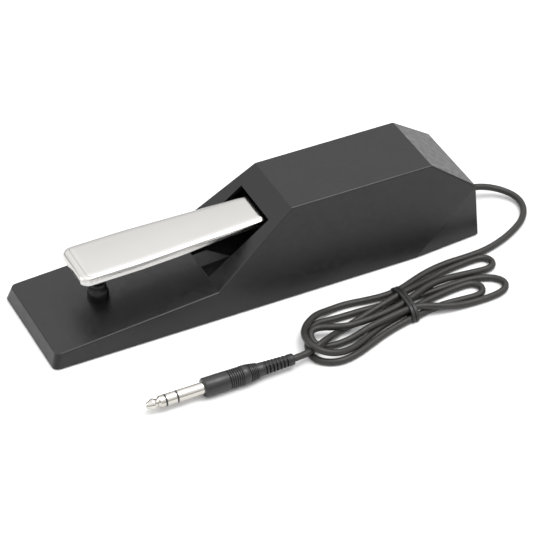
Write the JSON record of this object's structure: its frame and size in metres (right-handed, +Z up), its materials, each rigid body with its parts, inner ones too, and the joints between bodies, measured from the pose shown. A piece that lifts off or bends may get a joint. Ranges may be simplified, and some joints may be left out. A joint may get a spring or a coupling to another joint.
{
  "type": "sustain pedal",
  "caption": "Wedge-shaped foot pedal with a bright sprung lever coming out of its housing, and a tied cable ending in a stereo jack plug.",
  "frame": {"origin": "on the standing surface, under the middle of the housing's footprint", "axes": "+Z up, +Y from the lever's toe towards the cable end, +X to the side the cable lies on"},
  "size_m": [0.128, 0.2807, 0.0489],
  "materials": {
    "shell_plastic": "fine satin grain, black",
    "grey_plastic": "satin, very dark grey",
    "zinc_steel": "zinc-plated sheet",
    "plate_black": "black-painted sheet, satin",
    "zinc_screw": "zinc-plated",
    "mat_rubber": "ribbed matt black",
    "bright_steel": "satin top, polished rim",
    "white_nylon": "natural nylon",
    "black_nylon": "satin black",
    "bright_pin": "ground steel",
    "spring_steel": "plain spring steel",
    "black_rubber": "matt black",
    "sensor_can": "pressed can",
    "nickel": "polished nickel plate",
    "tin": "tinned",
    "cable_rubber": "matt black",
    "lead_insulation": "thin insulated leads",
    "cable_jacket": "satin black jacket",
    "tie_wire": "black, slightly shiny",
    "plug_plastic": "satin black, ribbed grip",
    "plug_rubber": "slotted, matt black"
  },
  "bodies": {
    "base": {"housing_shell": "shell_plastic", "inner_tongue": "grey_plastic", "bottom_plate": "plate_black", "rubber_mat": "mat_rubber", "case_screws": "zinc_screw", "pivot_axle": "bright_pin", "axle_clips": "spring_steel", "pivot_bracket": "zinc_steel", "bracket_screws": "zinc_screw", "rest_stop_bar": "bright_pin", "rest_stop_sleeve": "black_rubber", "return_spring": "spring_steel", "spring_seat": "black_nylon", "front_bumper": "black_rubber", "potentiometer": "sensor_can", "potentiometer_nut": "nickel", "potentiometer_terminals": "tin", "sensor_bracket": "zinc_steel", "sensor_screws": "zinc_screw", "cable_gland": "cable_rubber", "lead_wires": "lead_insulation", "cord_run": "cable_jacket", "cord_tail": "cable_jacket", "cord_hank": "cable_jacket", "cable_tie": "tie_wire", "plug_tip": "nickel", "plug_insulators": "black_nylon", "plug_ring": "nickel", "plug_sleeve": "nickel", "plug_barrel": "plug_plastic", "plug_relief": "plug_rubber"},
    "lever": {"lever_cap": "bright_steel", "lever_arm": "zinc_steel", "cap_studs": "zinc_screw", "cap_nuts": "zinc_screw", "pivot_bushes": "white_nylon", "spring_peg": "black_nylon", "sensor_fork": "black_nylon"},
    "sensor_rotor": {"sensor_crank": "white_nylon", "sensor_shaft": "bright_pin"}
  },
  "joints": [
    {"name": "lever_pivot", "type": "hinge", "parent": "base", "child": "lever", "pos_m": [0, 0.0633, 0.027], "axis": [1, 0, 0], "range_deg": [0, 4], "stiffness_Nm_per_rad": 15, "springref_deg": -3.44, "deforming": ["return_spring"]},
    {"name": "sensor_turn", "type": "hinge", "parent": "base", "child": "sensor_rotor", "pos_m": [0, 0.0953, 0.02756], "axis": [1, 0, 0], "range_deg": [-12.5, 0.5]}
  ],
  "couplings": [
    {"joint": "sensor_turn", "follows": "lever_pivot", "ratio": -3}
  ]
}
